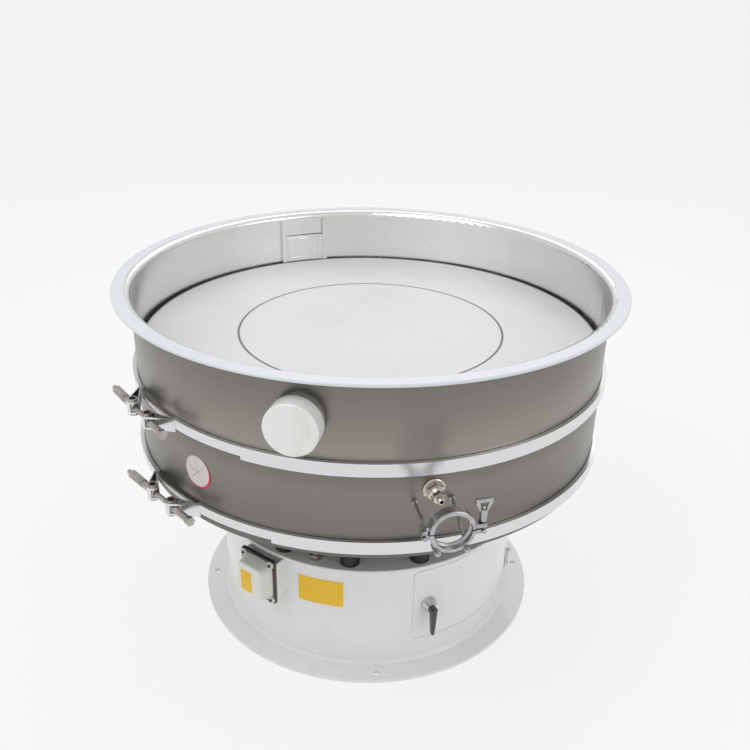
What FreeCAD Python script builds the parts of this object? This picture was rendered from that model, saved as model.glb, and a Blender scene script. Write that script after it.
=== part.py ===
import FreeCAD, Part
import math
import os
from FreeCAD import Placement, Rotation, Vector

# Vibrating sieve: one screening deck on rubber springs over a round base, with a
# vertical vibration motor under the sieve body. Millimetres, +Z up, origin at the
# centre of the base, on the floor. An azimuth is in degrees from the front (-Y),
# positive toward +X.

# ---- sieve body ----
body_radius = 500.0
wall = 2.0
rim_overhang = 37.0
rim_roll = 11.0
trim_width = 26.0
trim_depth = 6.5
total_height = 777.0
upper_frame_height = 178.0
middle_frame_height = 163.0
lower_frame_height = 34.0
spring_height = 136.0
floor_plate_thickness = 6.0
floor_plate_bend = 14.0

# ---- flanged joints and their clamp bands ----
flange_projection = 5.5
flange_thickness = 5.2
seal_thickness = 8.0
leaf_thickness = 2.0
groove_depth = 12.0
band_sheet = 3.0
band_leg = 3.5
band_clearance = 0.3
relief_half_angle = 28.0
relief_height = 7.0

# ---- band latches ----
upper_latch_azimuth = -54.5
lower_latch_azimuth = -48.2
latch_offset = 35.0
trunnion_spacing = 70.0
trunnion_radius = 9.5
trunnion_bore = 6.0
trunnion_height = 34.0
strap = 2.3
rod_radius = 5.0
rod_fit = 0.05
nut_flats = 17.0
nut_length = 48.0
collar_length = 25.0
collar_radius = 8.0
sleeve_length = 50.0
sleeve_radius = 7.0

# ---- screen ----
screen_rise = 54.0
mesh_thickness = 1.0
screen_margin = 10.0
screen_ring_wall = 5.0
resonator_radius = 286.0
resonator_width = 12.0
resonator_depth = 15.0
spoke_count = 4

# ---- discharge ----
dome_height = 82.0
dome_margin = 20.0
dome_crown = 40.0
coarse_azimuth = -158.9
coarse_width = 96.0
coarse_rise = 6.0
coarse_height = 56.0
fines_azimuth = 158.0
fines_width = 150.0
fines_rise = 18.0
fines_height = 88.0
spout_length = 110.0
spout_flange = 14.0
gate_overlap = 6.0
gate_gap = 4.0
gate_sheet = 2.0
gate_travel = 45.0
slide_clearance = 0.4
guide_width = 10.0

# ---- inspection port ----
port_azimuth = -13.8
port_rise = 89.0
port_radius = 45.0
port_length = 45.0
cap_wall = 4.0
cap_depth = 30.0
cap_clearance = 0.3

# ---- transducer holder ----
holder_azimuth = 13.3
holder_drop = 47.0
holder_reach = 125.0
holder_offset = -7.0
fitting_bore_radius = 11.0
stud_radius = 3.0
stud_spacing_wall = 70.0
stud_drop_wall = 23.5
lug_circle = 43.0
lug_angle = 52.0
clamp_outer = 40.0
clamp_inner = 33.0
clamp_width = 20.0
clamp_split = 3.0
ear_reach = 59.0
ear_thickness = 7.5
bolt_pivot_reach = 52.5
bolt_radius = 4.0
bolt_eye_side = 0.4
bolt_length = 46.0
link_reach = 48.0
link_pitch = 13.0
pin_radius = 2.5
nut_lift = 3.0
wing_nut_sleeve = 6.5
wing_span = 15.0
wing_height = 35.0
wing_bar = 7.0

# ---- base ----
base_radius = 340.0
base_wall = 3.0
base_weld = 6.0
base_lip = 15.0
base_plate = 7.0
base_plate_width = 70.0
foot_width = 52.5
foot_inset = 25.0
foot_thickness = 8.0
anchor_margin = 22.5
anchor_hole = 7.0
anchor_count = 4
anchor_phase = 3.8

# ---- springs and limit studs ----
spring_inset = 13.0
spring_radius = 20.0
spring_count = 14
spring_phase = -6.2
spring_bolt_radius = 5.0
limit_stud_radius = 9.0
limit_stud_gap = 14.0
limit_stud_places = (0, 5, 9)

# ---- access door ----
door_start = 16.8
door_end = 78.0
door_bottom = 62.0
door_drop = 23.0
door_gap = 1.5
door_corner = 14.0
hinge_knuckle = 5.0
hinge_spacing = 49.0
hinge_pin_radius = 2.5
handle_azimuth = 22.9
handle_length = 62.0
handle_hub = 8.0
handle_tip = 3.5
handle_standoff = 20.3
handle_thickness = 8.0
spindle_radius = 4.0
cam_reach = 50.0
cam_depth = 16.0
cam_thickness = 3.0

# ---- junction box ----
box_azimuth = -38.0
box_drop = 61.0
box_standoff = 26.0
box_width = 94.0
box_height = 108.0
box_depth = 7.0
cover_width = 84.0
cover_height = 96.0
cover_depth = 28.0
cover_corner = 22.0
cover_taper = 8.0
cover_wall = 3.0
cover_ear = 4.0
cover_screw_width = 76.0
cover_screw_height = 90.0

# ---- labels ----
base_label_azimuth = -16.6
base_label_drop = 76.0
disc_label_azimuth = -39.7
disc_label_rise = 79.0
disc_label_radius = 34.0
label_thickness = 0.6
label_lift = 0.1

# ---- vibration motor ----
motor_radius = 92.0
motor_flange_radius = 128.0
motor_drop = 224.0
motor_rise = 38.0
motor_bolt_circle = 112.0
motor_bolt_count = 8
fin_count = 24
shaft_radius = 20.0
shaft_fit = 0.05
weight_radius = 105.0
weight_thickness = 26.0
weight_gap = 4.0

rim_radius = body_radius + rim_overhang
upper_joint = total_height - upper_frame_height
lower_joint = upper_joint - middle_frame_height
floor_plate_bottom = lower_joint - lower_frame_height
base_height = floor_plate_bottom - spring_height
screen_level = upper_joint + screen_rise
screen_radius = body_radius - screen_margin
dome_edge = body_radius - dome_margin
coarse_bottom = screen_level + coarse_rise
fines_bottom = lower_joint + fines_rise
port_level = upper_joint + port_rise
holder_level = upper_joint - holder_drop
base_lip_radius = base_radius + base_lip
base_plate_inner = base_lip_radius - base_plate_width
foot_radius = base_radius + foot_width
foot_inner = base_radius - foot_inset
anchor_circle = foot_radius - anchor_margin
spring_circle = base_radius - spring_inset
door_top = base_height - door_drop
hinge_height = (door_top - door_bottom - hinge_spacing) / 3
handle_level = (door_bottom + door_top) / 2
box_level = base_height - box_drop
motor_bottom = floor_plate_bottom - motor_drop
motor_top = floor_plate_bottom + motor_rise
joint_half = seal_thickness / 2 + flange_thickness
band_half = joint_half + band_clearance + band_leg
flange_radius = body_radius + flange_projection
band_radius = flange_radius + 0.5 + band_sheet
shell_inner = body_radius - wall
rest = 0.3


def polar(radius, azimuth, z=0.0):
    angle = math.radians(azimuth)
    return Vector(radius * math.sin(angle), -radius * math.cos(angle), z)


def frame_at(radius, azimuth, z):
    """Local axes on the machine: +X outward, +Y toward larger azimuth, +Z up."""
    return Placement(polar(radius, azimuth, z), Rotation(Vector(0, 0, 1), azimuth - 90))


def placed(shape, placement):
    moved = shape.copy()
    moved.Placement = placement.multiply(shape.Placement)
    return moved


def fuse(shapes):
    solid = shapes[0].fuse(shapes[1:]) if len(shapes) > 1 else shapes[0]
    return solid.removeSplitter()


def cylinder(radius, start, end):
    axis = end - start
    return Part.makeCylinder(radius, axis.Length, start, axis)


def tube(outer, inner, start, end):
    return cylinder(outer, start, end).cut(cylinder(inner, start, end))


def box(x0, x1, y0, y1, z0, z1):
    return Part.makeBox(x1 - x0, y1 - y0, z1 - z0, Vector(x0, y0, z0))


def revolved(profile, axis=Vector(0, 0, 1)):
    """Full turn of a closed (radius, height) outline about the given axis."""
    if axis.z:
        points = [Vector(radius, 0, height) for radius, height in profile]
    else:
        points = [Vector(height, 0, radius) for radius, height in profile]
    wire = Part.makePolygon(points + points[:1])
    return Part.Face(wire).revolve(Vector(0, 0, 0), axis, 360)


def sector(r_in, r_out, z0, z1, start, end):
    """Piece of a ring between two azimuths."""
    angle = end - start
    outer = Part.makeCylinder(r_out, z1 - z0, Vector(0, 0, z0), Vector(0, 0, 1), angle)
    inner = Part.makeCylinder(r_in, z1 - z0, Vector(0, 0, z0), Vector(0, 0, 1), angle)
    piece = outer.cut(inner)
    piece.rotate(Vector(0, 0, 0), Vector(0, 0, 1), start - 90)
    return piece


def hexagon(flats, start, end):
    """Hexagonal prism between two points."""
    axis = end - start
    corner = flats / math.sqrt(3)
    points = [Vector(corner * math.cos(math.radians(60 * i)),
                     corner * math.sin(math.radians(60 * i)), 0) for i in range(7)]
    prism = Part.Face(Part.makePolygon(points)).extrude(Vector(0, 0, axis.Length))
    return placed(prism, Placement(start, Rotation(Vector(0, 0, 1), axis)))


def around(shape, count, phase=0.0):
    return [placed(shape, Placement(Vector(), Rotation(Vector(0, 0, 1), phase + 360.0 * i / count)))
            for i in range(count)]


def hull(center_a, radius_a, center_b, radius_b, z0, z1):
    """Prism round two circles of different size and their outer tangents."""
    line = center_b - center_a
    spread = math.acos((radius_a - radius_b) / line.Length)
    heading = math.atan2(line.y, line.x)

    def on(center, radius, angle):
        return center + Vector(radius * math.cos(angle), radius * math.sin(angle), 0)

    a_left, a_right = on(center_a, radius_a, heading + spread), on(center_a, radius_a, heading - spread)
    b_left, b_right = on(center_b, radius_b, heading + spread), on(center_b, radius_b, heading - spread)
    a_back = on(center_a, radius_a, heading + math.pi)
    b_tip = on(center_b, radius_b, heading)
    edges = [Part.Arc(a_left, a_back, a_right).toShape(), Part.makeLine(a_right, b_right),
             Part.Arc(b_right, b_tip, b_left).toShape(), Part.makeLine(b_left, a_left)]
    face = Part.Face(Part.Wire(edges))
    face.translate(Vector(0, 0, z0))
    return face.extrude(Vector(0, 0, z1 - z0))


def rounded_prism(depth, width, height, corner):
    """Plate standing across local X, with rounded corners, from x = 0 to depth."""
    plate = box(0, depth, -width / 2, width / 2, -height / 2, height / 2)
    long_edges = [edge for edge in plate.Edges if abs(edge.tangentAt(edge.FirstParameter).x) > 0.9]
    return plate.makeFillet(corner, long_edges)


def soften_corners(plate, radius):
    """Rounds the four short edges that run through a curved plate."""
    short = [edge for edge in plate.Edges
             if isinstance(edge.Curve, Part.Line)
             and abs(edge.tangentAt(edge.FirstParameter).z) < 0.1]
    return plate.makeFillet(radius, short)


# ---------------------------------------------------------------- base

def door_outline(r_in, r_out, gap, corner):
    turn = math.degrees(gap / base_radius)
    plate = sector(r_in, r_out, door_bottom + gap, door_top - gap, door_start + turn, door_end - turn)
    return soften_corners(plate, corner)


def base_foot():
    """Flat ring on the floor with the anchor holes."""
    ring = revolved([(foot_inner, 0), (foot_radius - 1, 0), (foot_radius, 1),
                     (foot_radius, foot_thickness), (foot_inner, foot_thickness)])
    anchor = cylinder(anchor_hole, Vector(0, -anchor_circle, -1), Vector(0, -anchor_circle, foot_thickness + 1))
    return ring.cut(around(anchor, anchor_count, anchor_phase))


def base_shell():
    """Rolled wall of the base with its weld bead, the doorway and the cable hole."""
    inner = base_radius - base_wall
    wall_top = base_height - base_plate
    shell = revolved([(inner, foot_thickness), (base_radius + base_weld, foot_thickness),
                      (base_radius, foot_thickness + base_weld), (base_radius, wall_top), (inner, wall_top)])
    doorway = door_outline(inner - 10, base_radius + 10, 0.0, door_corner)
    cable = placed(cylinder(9, Vector(-20, 0, 0), Vector(20, 0, 0)), box_frame())
    return shell.cut([doorway, cable])


def base_top():
    """Ring plate that the springs stand on."""
    bottom = base_height - base_plate
    ring = revolved([(base_plate_inner, bottom), (base_lip_radius - 1, bottom), (base_lip_radius, bottom + 1),
                     (base_lip_radius, base_height - 1.5), (base_lip_radius - 1.5, base_height),
                     (base_plate_inner, base_height)])
    bolt = cylinder(spring_bolt_radius + 0.5, Vector(0, -spring_circle, bottom - 1),
                    Vector(0, -spring_circle, base_height + 1))
    return ring.cut(around(bolt, spring_count, spring_phase))


def rubber_springs():
    bottom = base_height
    top = floor_plate_bottom
    profile = [(0, bottom), (spring_radius, bottom), (spring_radius, bottom + 8),
               (spring_radius - 2, bottom + 14), (spring_radius - 2, top - 14),
               (spring_radius, top - 8), (spring_radius, top), (0, top)]
    spring = revolved(profile)
    spring.translate(Vector(0, -spring_circle, 0))
    return around(spring, spring_count, spring_phase)


def stud_and_nut(z_from, z_plate, direction):
    """Threaded end of a spring through its plate, with its nut."""
    far = z_plate + direction * 16
    here = Vector(0, -spring_circle, z_from)
    stud = cylinder(spring_bolt_radius, here, Vector(0, -spring_circle, far))
    nut = hexagon(16, Vector(0, -spring_circle, z_plate), Vector(0, -spring_circle, z_plate + direction * 8))
    return around(fuse([stud, nut]), spring_count, spring_phase)


def limit_studs():
    top = floor_plate_bottom - limit_stud_gap
    stud = cylinder(limit_stud_radius, Vector(0, -spring_circle, base_height), Vector(0, -spring_circle, top))
    collar = hexagon(27, Vector(0, -spring_circle, base_height), Vector(0, -spring_circle, base_height + 12))
    between = around(fuse([stud, collar]), spring_count, spring_phase - 180.0 / spring_count)
    return [between[place] for place in limit_stud_places]


def hinge_levels():
    return [door_bottom + 35, door_top - 31]


def hinge_frame(level):
    return frame_at(base_radius, door_end, level)


def knuckle(z0, z1, side):
    """Knuckle and leaf of a butt hinge; side is +1 on the shell and -1 on the door."""
    axis_x = hinge_knuckle + 0.5
    barrel = tube(hinge_knuckle, hinge_pin_radius + rod_fit, Vector(axis_x, 0, z0), Vector(axis_x, 0, z1))
    web = box(0.3, 2.3, min(0, side * 8), max(0, side * 8), z0, z1)
    web = web.cut(cylinder(hinge_pin_radius + rod_fit, Vector(axis_x, 0, z0), Vector(axis_x, 0, z1)))
    leaf = box(0.3, 2.3, min(side * 7.5, side * 24), max(side * 7.5, side * 24), -hinge_height / 2, hinge_height / 2)
    return [barrel, web, leaf]


def hinge_half(level, side):
    third = hinge_height / 3
    if side < 0:
        pieces = knuckle(-third / 2 + 0.4, third / 2 - 0.4, side)
    else:
        pieces = knuckle(-hinge_height / 2, -third / 2, side)
        pieces += knuckle(third / 2, hinge_height / 2, side)
    half = placed(fuse(pieces), hinge_frame(level))
    return half.cut(cylinder(base_radius, Vector(0, 0, 0), Vector(0, 0, base_height)))


def hinge_pin(level):
    axis_x = hinge_knuckle + 0.5
    top = hinge_height / 2
    pin = cylinder(hinge_pin_radius, Vector(axis_x, 0, -top - 1), Vector(axis_x, 0, top))
    head = cylinder(hinge_pin_radius + 1.2, Vector(axis_x, 0, top), Vector(axis_x, 0, top + 2))
    return placed(fuse([pin, head]), hinge_frame(level))


def access_door():
    leaf = door_outline(base_radius - base_wall, base_radius, door_gap, door_corner - door_gap)
    hole = cylinder(spindle_radius + rod_fit, Vector(-10, 0, 0), Vector(10, 0, 0))
    return leaf.cut(placed(hole, handle_frame()))


def handle_frame():
    return frame_at(base_radius, handle_azimuth, handle_level)


def handle_rosette():
    """Fluted cone under the lever, with the spindle's bore."""
    bore = spindle_radius + rod_fit
    depth = 20.0
    cone = revolved([(bore, 0.5), (17, 0.5), (17, 3), (11, depth), (bore, depth)], Vector(1, 0, 0))
    flute = cylinder(1.6, Vector(1, 0, 18.2), Vector(depth + 2, 0, 11.2))
    flutes = [placed(flute, Placement(Vector(), Rotation(Vector(1, 0, 0), 30 * i))) for i in range(12)]
    return placed(cone.cut(flutes), handle_frame())


def door_handle():
    start = handle_standoff
    end = start + handle_thickness
    arm = hull(Vector(0, 0, 0), handle_hub, Vector(handle_length, 0, 0), handle_tip, start, end)
    arm = placed(arm, Placement(Vector(), Rotation(Vector(0, 1, 0), 90)))
    spindle = cylinder(spindle_radius, Vector(-cam_depth - cam_thickness, 0, 0), Vector(start, 0, 0))
    boss = cylinder(handle_hub - 3, Vector(end, 0, 0), Vector(end + 1.5, 0, 0))
    return placed(fuse([arm, spindle, boss]), handle_frame())


def handle_cam():
    cam = hull(Vector(0, 0, 0), 11, Vector(cam_reach - 8, 0, 0), 8, -cam_depth - cam_thickness, -cam_depth)
    cam = placed(cam, Placement(Vector(), Rotation(Vector(0, 1, 0), 90)))
    cam = cam.cut(cylinder(spindle_radius, Vector(-cam_depth - cam_thickness - 1, 0, 0), Vector(0, 0, 0)))
    return placed(cam, handle_frame())


# ---------------------------------------------------------------- junction box

def box_bracket():
    """Folded bracket, open at the top, that carries the junction box off the shell."""
    sheet = 3.0
    half = box_width / 2
    low, high = -box_height / 2, box_height / 2 - 8
    front = box(box_standoff - sheet, box_standoff, -half, half, low, high)
    cheeks = []
    for side in (-1, 1):
        inner, outer = sorted((side * (half - sheet), side * half))
        outline = [Vector(-8, 0, high), Vector(box_standoff, 0, high), Vector(box_standoff, 0, low),
                   Vector(box_standoff - sheet, 0, low), Vector(-8, 0, low + 26), Vector(-8, 0, high)]
        cheek = Part.Face(Part.makePolygon(outline)).extrude(Vector(0, outer - inner, 0))
        cheek.translate(Vector(0, inner, 0))
        cheeks.append(cheek)
    bracket = fuse([front] + cheeks)
    cable = cylinder(9, Vector(-20, 0, 0), Vector(box_standoff + 5, 0, 0))
    bracket = placed(bracket.cut(cable), box_frame())
    return bracket.cut(cylinder(base_radius, Vector(0, 0, 0), Vector(0, 0, base_height)))


def box_frame():
    return frame_at(base_radius, box_azimuth, box_level)


def screw_points():
    return [Vector(0, y * cover_screw_width / 2, z * cover_screw_height / 2) for y in (-1, 1) for z in (-1, 1)]


def junction_box():
    """Flat back plate of the junction box, open to the cable hole behind it."""
    body = rounded_prism(box_depth, box_width, box_height, 3)
    cavity = rounded_prism(box_depth, box_width - 30, box_height - 30, 12)
    cavity.translate(Vector(2.5, 0, 0))
    cable = cylinder(9, Vector(-1, 0, 0), Vector(5, 0, 0))
    holes = [cylinder(1.9, p - Vector(1, 0, 0), p + Vector(box_depth + 1, 0, 0)) for p in screw_points()]
    body = body.cut([cavity, cable] + holes)
    body.translate(Vector(box_standoff, 0, 0))
    return placed(body, box_frame())


def tapered_block(depth, width, height, corner):
    """Rounded block that narrows toward its front face."""
    wires = []
    for x, shrink in ((0.0, 0.0), (depth, cover_taper)):
        plate = rounded_prism(1.0, width - 2 * shrink, height - 2 * shrink, corner - shrink)
        back = min(plate.Faces, key=lambda face: face.CenterOfMass.x)
        wire = back.OuterWire.copy()
        wire.translate(Vector(x, 0, 0))
        wires.append(wire)
    return Part.makeLoft(wires, True, True)


def junction_cover():
    """Hollow tapered cover with a screw ear at each corner."""
    block = tapered_block(cover_depth, cover_width, cover_height, cover_corner)
    rim = [edge for edge in block.Edges if min(v.Point.x for v in edge.Vertexes) > cover_depth - 0.1]
    block = block.makeFillet(5, rim)
    ears = [cylinder(8, p, p + Vector(cover_ear, 0, 0)) for p in screw_points()]
    hollow = tapered_block(cover_depth - cover_wall, cover_width - 3 * cover_wall, cover_height - 3 * cover_wall,
                           cover_corner - cover_wall)
    holes = [cylinder(2.2, p - Vector(1, 0, 0), p + Vector(cover_ear + 1, 0, 0)) for p in screw_points()]
    cover = fuse([block] + ears).cut([hollow] + holes)
    cover.translate(Vector(box_standoff + box_depth, 0, 0))
    return placed(cover, box_frame())


def junction_screws():
    screws = []
    seat = box_standoff + box_depth + cover_ear
    for p in screw_points():
        head = cylinder(3.6, p + Vector(seat, 0, 0), p + Vector(seat + 2.4, 0, 0))
        slot = box(seat + 1.4, seat + 3, p.y - 3, p.y + 3, p.z - 0.5, p.z + 0.5)
        shank = cylinder(1.8, p + Vector(seat - 9, 0, 0), p + Vector(seat, 0, 0))
        screws.append(placed(fuse([head.cut(slot), shank]), box_frame()))
    return screws


def curved_label(radius, azimuth, z, width, height):
    half = math.degrees(width / 2 / radius)
    low = radius + label_lift
    return sector(low, low + label_thickness, z - height / 2, z + height / 2, azimuth - half, azimuth + half)


def caution_labels():
    """Blank yellow stickers on the base's wall and on the junction cover."""
    on_base = curved_label(base_radius, base_label_azimuth, base_height - base_label_drop, 100.0, 64.0)
    on_cover = rounded_prism(label_thickness, 30, 52, 2)
    on_cover.translate(Vector(box_standoff + box_depth + cover_depth, -8, -2))
    return [on_base, placed(on_cover, box_frame())]


def disc_label():
    """Round sticker that follows the middle frame's wall."""
    low = body_radius + label_lift
    level = lower_joint + disc_label_rise
    disc = cylinder(disc_label_radius, Vector(-3, 0, 0), Vector(3, 0, 0))
    disc = placed(disc, frame_at(body_radius, disc_label_azimuth, level))
    reach = Vector(0, 0, disc_label_radius + 10)
    middle = Vector(0, 0, level)
    return disc.common(tube(low + label_thickness, low, middle - reach, middle + reach))


# ---------------------------------------------------------------- frames

def lower_frame():
    """Shallow frame with the floor plate that stands on the springs and carries the motor."""
    plate_top = floor_plate_bottom + floor_plate_thickness
    top = lower_joint - seal_thickness / 2
    profile = [(motor_radius + 1, floor_plate_bottom), (body_radius - floor_plate_bend, floor_plate_bottom),
               (body_radius, floor_plate_bottom + floor_plate_bend), (body_radius, top - flange_thickness),
               (flange_radius, top - flange_thickness), (flange_radius, top), (shell_inner, top),
               (shell_inner, plate_top), (motor_flange_radius, plate_top),
               (motor_flange_radius, plate_top + 6), (motor_radius + 1, plate_top + 6)]
    frame = revolved(profile)
    spring = cylinder(spring_bolt_radius + 0.5, Vector(0, -spring_circle, floor_plate_bottom - 1),
                      Vector(0, -spring_circle, plate_top + 1))
    motor = cylinder(5.5, Vector(0, -motor_bolt_circle, floor_plate_bottom - 1),
                     Vector(0, -motor_bolt_circle, plate_top + 7))
    return frame.cut(around(spring, spring_count, spring_phase) + around(motor, motor_bolt_count))


def spout(azimuth, bottom, width, height):
    """Rectangular duct with an end flange, welded over its opening in the wall."""
    sheet = wall
    length = spout_length
    duct = box(-30, length, -width / 2 - sheet, width / 2 + sheet, -sheet, height + sheet)
    edge = spout_flange
    flange = box(length - 3, length, -width / 2 - edge, width / 2 + edge, -edge, height + edge)
    placement = frame_at(body_radius, azimuth, bottom)
    way = placed(box(-40, length + 1, -width / 2, width / 2, 0, height), placement)
    body = cylinder(body_radius, Vector(0, 0, 0), Vector(0, 0, total_height))
    return placed(fuse([duct, flange]), placement).cut([body, way]), way


def middle_frame():
    bottom = lower_joint + seal_thickness / 2
    top = upper_joint - seal_thickness / 2
    profile = [(shell_inner, bottom), (flange_radius, bottom), (flange_radius, bottom + flange_thickness),
               (body_radius, bottom + flange_thickness), (body_radius, top - flange_thickness),
               (flange_radius, top - flange_thickness), (flange_radius, top), (shell_inner, top)]
    bore = cylinder(fitting_bore_radius, Vector(-40, 0, 0), Vector(20, 0, 0))
    return revolved(profile).cut([fines_duct()[1], placed(bore, holder_frame())])


def fines_duct():
    return spout(fines_azimuth, fines_bottom, fines_width, fines_height)


def upper_frame():
    """Tall frame with a rolled rim, open to the inspection pipe and the coarse spout."""
    bottom = upper_joint + seal_thickness / 2
    rim_top = total_height - 1
    roll = rim_roll
    outer = body_radius
    inner = shell_inner
    edge = rim_radius - 2
    mid = math.sqrt(0.5)
    big = roll + wall
    edges = [
        Part.makeLine(Vector(inner, 0, bottom), Vector(flange_radius, 0, bottom)),
        Part.makeLine(Vector(flange_radius, 0, bottom), Vector(flange_radius, 0, bottom + flange_thickness)),
        Part.makeLine(Vector(flange_radius, 0, bottom + flange_thickness),
                      Vector(outer, 0, bottom + flange_thickness)),
        Part.makeLine(Vector(outer, 0, bottom + flange_thickness), Vector(outer, 0, rim_top - big)),
        Part.Arc(Vector(outer, 0, rim_top - big), Vector(outer + roll * (1 - mid), 0, rim_top - big + roll * mid),
                 Vector(outer + roll, 0, rim_top - wall)).toShape(),
        Part.makeLine(Vector(outer + roll, 0, rim_top - wall), Vector(edge, 0, rim_top - wall)),
        Part.makeLine(Vector(edge, 0, rim_top - wall), Vector(edge, 0, rim_top)),
        Part.makeLine(Vector(edge, 0, rim_top), Vector(inner + big, 0, rim_top)),
        Part.Arc(Vector(inner + big, 0, rim_top), Vector(inner + big * (1 - mid), 0, rim_top - big * (1 - mid)),
                 Vector(inner, 0, rim_top - big)).toShape(),
        Part.makeLine(Vector(inner, 0, rim_top - big), Vector(inner, 0, bottom))]
    shell = Part.Face(Part.Wire(edges)).revolve(Vector(0, 0, 0), Vector(0, 0, 1), 360)
    return shell.cut([coarse_duct()[1], port_bore()])


def coarse_duct():
    return spout(coarse_azimuth, coarse_bottom, coarse_width, coarse_height)


def port_bore():
    return placed(cylinder(port_radius - wall, Vector(-40, 0, 0), Vector(port_length + 1, 0, 0)), port_frame())


def inspection_pipe():
    """Short pipe welded on the upper frame round its inspection hole."""
    pipe = placed(cylinder(port_radius, Vector(-30, 0, 0), Vector(port_length, 0, 0)), port_frame())
    body = cylinder(body_radius, Vector(0, 0, 0), Vector(0, 0, total_height))
    return pipe.cut([body, port_bore()])


def rim_trim():
    """Channel-shaped silicone edge pressed over the rim."""
    bottom = total_height - trim_depth
    inner = rim_radius - trim_width
    slot_edge = rim_radius - 2
    return revolved([(inner, total_height - 1), (inner, total_height), (rim_radius - 1.5, total_height),
                     (rim_radius, total_height - 1.5), (rim_radius, bottom + 1.5), (rim_radius - 1.5, bottom),
                     (inner + 2, bottom), (inner + 2, total_height - 1 - wall),
                     (slot_edge, total_height - 1 - wall), (slot_edge, total_height - 1)])


def seal(level):
    """Rubber joint ring whose groove holds the leaf between the two flanges."""
    half = seal_thickness / 2
    slot = leaf_thickness / 2
    bottom = flange_radius - groove_depth - 3.5
    groove = flange_radius - 3.5
    return revolved([(bottom, level - half), (flange_radius, level - half), (flange_radius, level + half),
                     (bottom, level + half), (bottom, level + slot), (groove, level + slot),
                     (groove, level - slot), (bottom, level - slot)])


def discharge_dome():
    """Domed floor, flat at its crown, that sheds the fines to the wall."""
    edge = flange_radius - 3.5
    half = leaf_thickness / 2
    crown = lower_joint + dome_height
    middle = (dome_edge + dome_crown) / 2
    sag = dome_height * 0.7

    def curve(offset):
        return Part.Arc(Vector(dome_edge, 0, lower_joint + offset), Vector(middle, 0, lower_joint + sag + offset),
                        Vector(dome_crown, 0, crown + offset)).toShape()

    def line(r0, z0, r1, z1):
        return Part.makeLine(Vector(r0, 0, z0), Vector(r1, 0, z1))

    top, under = lower_joint + half, lower_joint - half
    edges = [line(0, crown - half, 0, crown + half), line(0, crown + half, dome_crown, crown + half), curve(half),
             line(dome_edge, top, edge, top), line(edge, top, edge, under), line(edge, under, dome_edge, under),
             curve(-half), line(dome_crown, crown - half, 0, crown - half)]
    wire = Part.Wire(Part.sortEdges(edges)[0])
    return Part.Face(wire).revolve(Vector(0, 0, 0), Vector(0, 0, 1), 360)


# ---------------------------------------------------------------- clamp bands and latches

def band_gap_angle():
    return math.degrees(math.asin((trunnion_spacing / 2 + 40) / band_radius))


def clamp_band(level, azimuth):
    """Channel band round a flanged joint, with a strap loop on each end."""
    inner = band_radius - band_sheet
    cavity = joint_half + band_clearance
    lip = body_radius + 1.0
    ring = revolved([(lip, level + cavity), (inner, level + cavity), (inner, level - cavity),
                     (lip, level - cavity), (lip, level - band_half), (band_radius, level - band_half),
                     (band_radius, level + band_half), (lip, level + band_half)])
    gap = band_gap_angle()
    split = sector(body_radius, band_radius + 5, level - 30, level + 30, azimuth - gap, azimuth + gap)
    relief = sector(body_radius, band_radius + 5, level - 30, level - band_half + relief_height,
                    azimuth - relief_half_angle, azimuth + relief_half_angle)
    loops = [strap_loop(side) for side in (-1, 1)]
    placement = frame_at(body_radius + latch_offset, azimuth, level)
    body = ring.cut([split, relief])
    shaft = cylinder(band_radius - band_sheet + 0.5, Vector(0, 0, 0), Vector(0, 0, total_height))
    straps = [placed(loop, placement).cut(shaft) for loop in loops]
    return fuse([body] + straps)


def strap_loop(side):
    """Folded strap that holds a trunnion, open at mid height where the rod passes."""
    eye = Vector(0, side * trunnion_spacing / 2, 0)
    reach = trunnion_spacing / 2 + 46
    drop = latch_offset - (band_radius - body_radius) + reach * reach / (2 * band_radius)
    tail = Vector(-drop - 0.5, side * reach, 0)
    outer = hull(eye, trunnion_radius + 0.1 + strap, tail, strap, -band_half, band_half)
    inner = hull(eye, trunnion_radius + 0.1, tail, 0.2, -band_half - 1, band_half + 1)
    way = collar_radius + 1.0
    window = box(-way, way, -200, 200, -way, way)
    return outer.cut([inner, window])


def latch_frame(level, azimuth):
    return frame_at(body_radius + latch_offset, azimuth, level)


def trunnions(level, azimuth):
    half = trunnion_height / 2
    cross = cylinder(rod_radius + 0.3, Vector(0, -200, 0), Vector(0, 200, 0))
    pieces = []
    for side in (-1, 1):
        y = side * trunnion_spacing / 2
        pin = tube(trunnion_radius, trunnion_bore, Vector(0, y, -half), Vector(0, y, half))
        pieces.append(placed(pin.cut(cross), latch_frame(level, azimuth)))
    return pieces


def latch_rod(level, azimuth):
    """Threaded rod with its hexagon head, and the spacer sleeve under the head."""
    seat = trunnion_spacing / 2 + trunnion_radius + rest
    head_start = seat + sleeve_length
    tail = -seat - collar_length - nut_length - 14
    rod = cylinder(rod_radius, Vector(0, tail, 0), Vector(0, head_start + 9, 0))
    head = hexagon(nut_flats, Vector(0, head_start, 0), Vector(0, head_start + 9, 0))
    sleeve = tube(sleeve_radius, rod_radius + 0.3, Vector(0, seat, 0), Vector(0, head_start, 0))
    return [placed(piece, latch_frame(level, azimuth)) for piece in (fuse([rod, head]), sleeve)]


def latch_nut(level, azimuth):
    """Long hexagon nut with a plain collar that bears on the trunnion."""
    seat = -trunnion_spacing / 2 - trunnion_radius - rest
    collar = cylinder(collar_radius, Vector(0, seat, 0), Vector(0, seat - collar_length, 0))
    body = hexagon(nut_flats, Vector(0, seat - collar_length, 0), Vector(0, seat - collar_length - nut_length, 0))
    bore = cylinder(rod_radius + rod_fit, Vector(0, seat + 1, 0), Vector(0, seat - collar_length - nut_length - 1, 0))
    return placed(fuse([collar, body]).cut(bore), latch_frame(level, azimuth))


# ---------------------------------------------------------------- screen and gate

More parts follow.
